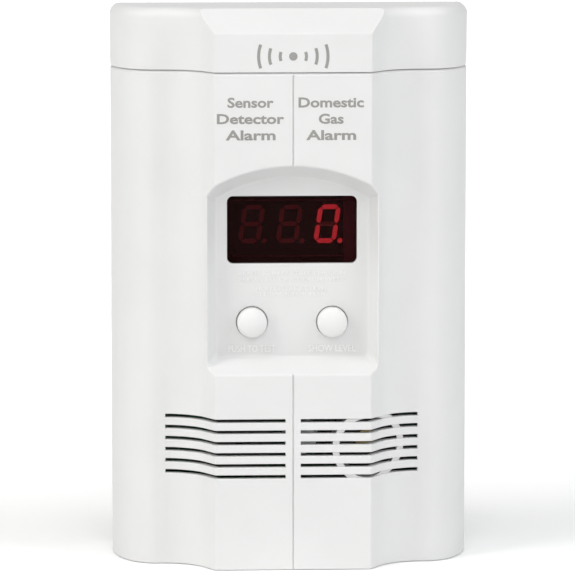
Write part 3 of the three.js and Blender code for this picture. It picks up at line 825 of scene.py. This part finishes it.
def lit_bar():
    """A glowing bar of a digit."""
    finish, shader = shader_of("lit_bar")
    glow = ramp(finish, noise(finish, 500), [(0.3, (0.9, 0.035, 0.05)), (0.7, (1.0, 0.045, 0.06))])
    finish.node_tree.links.new(glow, shader.inputs["Emission Color"])
    shader.inputs["Base Color"].default_value = (0.5, 0.02, 0.03, 1)
    shader.inputs["Emission Strength"].default_value = 1.5
    shader.inputs["Roughness"].default_value = 0.5
    return finish


def circuit_board():
    """Green lacquer with paler tracks."""
    finish, shader = shader_of("circuit_board")
    place = finish.node_tree.nodes.new("ShaderNodeTexCoord")
    tracks = add_node(finish, "ShaderNodeTexBrick", Scale=160.0, Mortar_Size=0.06)
    tracks.inputs["Color1"].default_value = (0.012, 0.09, 0.035, 1)
    tracks.inputs["Color2"].default_value = (0.016, 0.11, 0.042, 1)
    tracks.inputs["Mortar"].default_value = (0.04, 0.2, 0.085, 1)
    turn = finish.node_tree.nodes.new("ShaderNodeMapping")
    turn.inputs["Rotation"].default_value = (math.radians(90), 0, 0)
    finish.node_tree.links.new(place.outputs["Object"], turn.inputs["Vector"])
    finish.node_tree.links.new(turn.outputs["Vector"], tracks.inputs["Vector"])
    finish.node_tree.links.new(tracks.outputs["Color"], shader.inputs["Base Color"])
    rough = spread(finish, noise(finish, 400), 0.25, 0.4)
    finish.node_tree.links.new(rough, shader.inputs["Roughness"])
    return finish


def battery_jacket():
    """A plain printed jacket: dark blue with a pale band at the terminals' end."""
    finish, shader = shader_of("battery_jacket")
    place = finish.node_tree.nodes.new("ShaderNodeTexCoord")
    split = finish.node_tree.nodes.new("ShaderNodeSeparateXYZ")
    finish.node_tree.links.new(place.outputs["Object"], split.inputs["Vector"])
    low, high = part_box("battery")
    along = finish.node_tree.nodes.new("ShaderNodeMapRange")
    along.inputs["From Min"].default_value = low.x
    along.inputs["From Max"].default_value = high.x
    finish.node_tree.links.new(split.outputs["X"], along.inputs["Value"])
    blue, pale = (0.015, 0.035, 0.12), (0.6, 0.61, 0.62)
    tint = ramp(finish, along.outputs["Result"], [(0.0, blue), (0.70, blue), (0.71, pale), (0.9, pale)])
    finish.node_tree.links.new(tint, shader.inputs["Base Color"])
    rough = spread(finish, noise(finish, 300), 0.25, 0.4)
    finish.node_tree.links.new(rough, shader.inputs["Roughness"])
    return finish


def backdrop_paper():
    finish, shader = shader_of("pale_floor")
    tint = ramp(finish, noise(finish, 3), [(0.3, (0.97, 0.97, 0.97)), (0.7, (0.99, 0.99, 0.99))])
    finish.node_tree.links.new(tint, shader.inputs["Base Color"])
    shader.inputs["Roughness"].default_value = 0.9
    shader.inputs["Specular IOR Level"].default_value = 0.1
    return finish


CASING = plastic("white_casing", (0.71, 0.71, 0.707), 0.5)
CASING_INSIDE = plastic("white_inner", (0.78, 0.775, 0.76), 0.55)
BUTTON = plastic("button_white", (0.76, 0.757, 0.75), 0.4, relief=0.03)
# The raised letters are the casing's plastic in a paler copy of its colour: a painted highlight where
# their faces catch the light.
PAINTED_LIT_LETTERING = plastic("raised_lettering_painted_lit", (0.84, 0.84, 0.83), 0.5)
INK = ink("grey_ink", (0.30, 0.29, 0.275))
PANE = tinted_pane()
LIT = lit_bar()
DARK_BAR = plastic("unlit_bar", (0.75, 0.05, 0.07), 0.5)
DISPLAY_RIM = plastic("display_rim_red", (0.5, 0.04, 0.08), 0.5)
BLACK = plastic("black_plastic", (0.03, 0.03, 0.032), 0.5)
DISPLAY_BODY = plastic("display_black", (0.02, 0.005, 0.005), 0.6)
DARK_GREY = plastic("dark_grey_plastic", (0.07, 0.07, 0.07), 0.5)
STEEL = metal("zinc_plate", (0.62, 0.63, 0.64), 0.32)
BRASS = metal("brass", (0.76, 0.58, 0.3), 0.3)
BOARD = circuit_board()
SLEEVE = plastic("capacitor_sleeve", (0.03, 0.04, 0.12), 0.35)
JACKET = battery_jacket()
RED_WIRE = plastic("red_insulation", (0.5, 0.02, 0.02), 0.45)
BLACK_WIRE = plastic("black_insulation", (0.02, 0.02, 0.02), 0.45)


def finish_piece(obj, body, slot, finish, *nodes):
    obj.data.materials.clear()
    obj.data.materials.append(finish)
    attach(obj, body)
    if nodes:
        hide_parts(*nodes)
    return obj


# ---- the object, piece by piece ----


def make_casing():
    finish_piece(front_cover(), "case", "casing", CASING, "front_cover")
    finish_piece(battery_door(), "battery_door", "casing", CASING, "battery_door")
    rear = refined("rear_housing", "rear_shell", 0.35 * MM, 3)
    finish_piece(rear, "case", "casing", CASING, "rear_housing")
    tray = refined("battery_tray", "tray_shell")
    finish_piece(tray, "case", "casing", CASING_INSIDE, "battery_tray")
    module = refined("power_module_case", "module_shell", 0.3 * MM, 3)
    finish_piece(module, "case", "casing", CASING, "power_module_case")
    for side in ("left", "right"):
        blade = refined(f"plug_blade_{side}", f"blade_{side}", 0.25 * MM, 3)
        finish_piece(blade, "case", "brass", BRASS, f"plug_blade_{side}")
    battery = refined("battery", "battery_cell", 0.4 * MM, 3, sharp=50)
    finish_piece(battery, "case", "battery_jacket", JACKET, "battery")


def make_display():
    finish_piece(window_pane(), "case", "lens", PANE, "display_lens")
    finish_piece(display_block(), "case", "black_plastic", DISPLAY_BODY, "display_module")
    finish_piece(display_rim(), "case", "lens", DISPLAY_RIM)
    lit = {"hundreds": (), "tens": (), "units": ("a", "b", "c", "d", "e", "f", "dot")}
    for place, name in enumerate(("hundreds", "tens", "units")):
        centre = DIGIT_CENTRE + (place - 1) * DIGIT_PITCH
        for piece, glowing in display_digit(f"digit_{name}", centre, lit[name]):
            finish_piece(piece, "case", "lens", LIT if glowing else DARK_BAR)


def make_buttons():
    for name in ("test", "level"):
        cap = button_cap(f"{name}_cap", f"{name}_button")
        finish_piece(cap, f"{name}_button", "button", BUTTON, f"{name}_button")


CAPTION_Z = BASE + 57.85 * MM
CAPTION_HEIGHT = 1.75 * MM
CAPTION_WIDTH = 12.4 * MM
CAPTION_THICKNESS = 0.4 * MM
ROW_HEIGHT = 0.95 * MM
ROW_THICKNESS = 0.2 * MM
PRINT_TOP = BASE + 123.5 * MM
PRINT_PITCH = 4.25 * MM
PRINT_HEIGHT = 2.5 * MM


def make_captions():
    captions = (("caption_test", "PUSH TO TEST", -BUTTON_X), ("caption_level", "SHOW LEVEL", BUTTON_X))
    for name, text, x in captions:
        words = lettering(name, text, x, CAPTION_Z, CAPTION_HEIGHT, RECESS_FLOOR,
                          CAPTION_THICKNESS, CAPTION_WIDTH, bold=0.04 * MM)
        # Paler copy of the casing plastic: painted highlight on the raised letters.
        finish_piece(words, "case", "casing", PAINTED_LIT_LETTERING)


def make_rows():
    """Four small raised lines between the window and the buttons."""
    rows = (
        ("row_one", "READING IN PARTS PER MILLION", 77.9, 28 * MM),
        ("row_two", "PRESS TEST ONCE EACH WEEK", 76.2, 28 * MM),
        ("row_three", "HOLD TO RESET LEVEL", 73.8, 19 * MM),
        ("row_four", "SEE BACK FOR PLUG", 72.4, 19 * MM),
    )
    for name, text, z, width in rows:
        words = lettering(name, text, 0, BASE + z * MM, ROW_HEIGHT, RECESS_FLOOR,
                          ROW_THICKNESS, width)
        # Paler copy of the casing plastic: painted highlight on the raised letters.
        finish_piece(words, "case", "casing", PAINTED_LIT_LETTERING)


def make_print():
    """Grey words on the panel and a pictogram on the door."""
    columns = (
        ("left", -11.1 * MM, (("Sensor", 12 * MM), ("Detector", 17.5 * MM), ("Alarm", 13 * MM))),
        ("right", 9.85 * MM, (("Domestic", 17 * MM), ("Gas", 6.5 * MM), ("Alarm", 13 * MM))),
    )
    for side, x, words in columns:
        for row, (word, width) in enumerate(words):
            z = PRINT_TOP - row * PRINT_PITCH
            line = lettering(f"print_{side}_{row + 1}", word, x, z, PRINT_HEIGHT, FRONT,
                             2 * INK_DEPTH, width, bold=0.1 * MM)
            finish_piece(line, "case", "casing", INK)
    finish_piece(sound_mark(), "battery_door", "casing", INK)


def finish_inner_nodes():
    """The inner pieces keep their solids and get the finish of the real ones."""
    finishes = {
        BOARD: ("main_board", "power_board"),
        BLACK: ("horn_case", "co_sensor_cell", "microcontroller", "battery_snap", "test_switch_body",
                "test_switch_plunger", "level_switch_body", "level_switch_plunger"),
        DARK_GREY: ("co_sensor_cap",),
        STEEL: ("gas_sensor", "transformer", "module_screw", "hinge_pin_left", "hinge_pin_right"),
        BRASS: ("piezo_disc",),
        SLEEVE: ("capacitor_upper", "capacitor_lower", "filter_capacitor"),
        CASING_INSIDE: ("power_module_lid",),
        RED_WIRE: ("battery_lead_red", "power_lead_red"),
        BLACK_WIRE: ("battery_lead_black", "power_lead_black"),
    }
    for finish, nodes in finishes.items():
        for node in nodes:
            paint_node(node, finish)
    for number in range(1, 5):
        paint_node(f"case_screw_{number}", STEEL)
        paint_node(f"board_screw_{number}", STEEL)


def paint_node(node, finish):
    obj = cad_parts[node]
    obj.data.materials.clear()
    obj.data.materials.append(finish)


# ---- floor, light and camera ----


SWEEP_WIDTH = 12
SWEEP_BACK = 4
SWEEP_RISE = 1
SWEEP_BEND = 0.9


def make_floor():
    """A pale sweep: a floor that curves up behind into a wall."""
    bpy.ops.mesh.primitive_plane_add(size=1, location=(0, 0, BASE - 0.1 * MM))
    bpy.context.object.scale = (SWEEP_WIDTH, 2 * SWEEP_BACK, 1)
    sweep = settle(bpy.context.object, "pale_sweep")
    edit(sweep)
    pick(sweep, "edges", lambda e: both(e, lambda v: near(v.y, SWEEP_BACK)))
    bpy.ops.mesh.extrude_region_move(TRANSFORM_OT_translate={"value": (0, 0, SWEEP_RISE)})
    pick(sweep, "edges", lambda e: both(e, lambda v: near(v.y, SWEEP_BACK) and v.z < 0))
    bevel(SWEEP_BEND, 12)
    done(sweep)
    sweep.data.materials.append(backdrop_paper())
    smooth(sweep, 60)


def soft_light(name, place, target, size, power, colour):
    bpy.ops.object.light_add(type="AREA", location=place)
    light = bpy.context.object
    light.name = name
    light.data.shape = "DISK"
    light.data.size = size
    light.data.energy = power
    light.data.color = colour
    light.rotation_euler = (Vector(target) - Vector(place)).to_track_quat("-Z", "Y").to_euler()


def aim_from(azimuth, elevation):
    """A light's place: azimuth 0 is straight in front and grows towards +X."""
    turn, rise = math.radians(azimuth), math.radians(elevation)
    flat = LIGHT_DISTANCE * math.cos(rise)
    return (flat * math.sin(turn), -flat * math.cos(turn), LIGHT_DISTANCE * math.sin(rise))


LIGHT_DISTANCE = 2.3
LIGHT_SIZE = 1.1
WIDE_LIGHT_SIZE = 1.4
WARM = (1, 0.992, 0.96)
COOL = (0.95, 0.975, 1)
PLAIN = (1, 1, 1)


def make_light():
    world = bpy.data.worlds.new("studio")
    bpy.context.scene.world = world
    world.use_nodes = True
    sky = world.node_tree.nodes["Background"]
    sky.inputs["Color"].default_value = (1, 1, 1, 1)
    sky.inputs["Strength"].default_value = 0.36
    middle = (0, -0.02, 0)
    boxes = (
        ("left_box", -60, 45, LIGHT_SIZE, 14.4, WARM),
        ("left_low_box", -60, 18, LIGHT_SIZE, 9, WARM),
        ("right_box", 60, 45, LIGHT_SIZE, 10, COOL),
        ("right_low_box", 60, 18, LIGHT_SIZE, 6.2, COOL),
        ("front_box", 0, 31, WIDE_LIGHT_SIZE, 10.4, PLAIN),
        ("top_box", 0, 75, LIGHT_SIZE, 10, PLAIN),
    )
    for name, azimuth, elevation, size, power, colour in boxes:
        soft_light(name, aim_from(azimuth, elevation), middle, size, power, colour)
    soft_light("backdrop_box", (0, 1.3, 1.1), (0, 2.1, 0), WIDE_LIGHT_SIZE, 24, PLAIN)
    bpy.context.scene.view_settings.view_transform = "Standard"


CAMERA_AZIMUTH = math.radians(-2.416)
CAMERA_ELEVATION = math.radians(7.703)
CAMERA_DISTANCE = 1.1
CAMERA_TARGET = Vector((-0.88 * MM, FRONT + 15 * MM, BASE + 73.06 * MM))
CAMERA_LENS = 260.2


def make_camera():
    back = Vector((
        math.sin(CAMERA_AZIMUTH) * math.cos(CAMERA_ELEVATION),
        -math.cos(CAMERA_AZIMUTH) * math.cos(CAMERA_ELEVATION),
        math.sin(CAMERA_ELEVATION),
    ))
    bpy.ops.object.camera_add(location=CAMERA_TARGET + back * CAMERA_DISTANCE)
    camera = bpy.context.object
    camera.rotation_euler = (-back).to_track_quat("-Z", "Y").to_euler()
    camera.data.lens = CAMERA_LENS
    camera.data.sensor_width = 36
    bpy.context.scene.camera = camera


bpy.ops.object.select_all(action="DESELECT")
make_camera()
make_light()
make_floor()
make_casing()
make_display()
make_buttons()
make_captions()
make_rows()
make_print()
finish_inner_nodes()
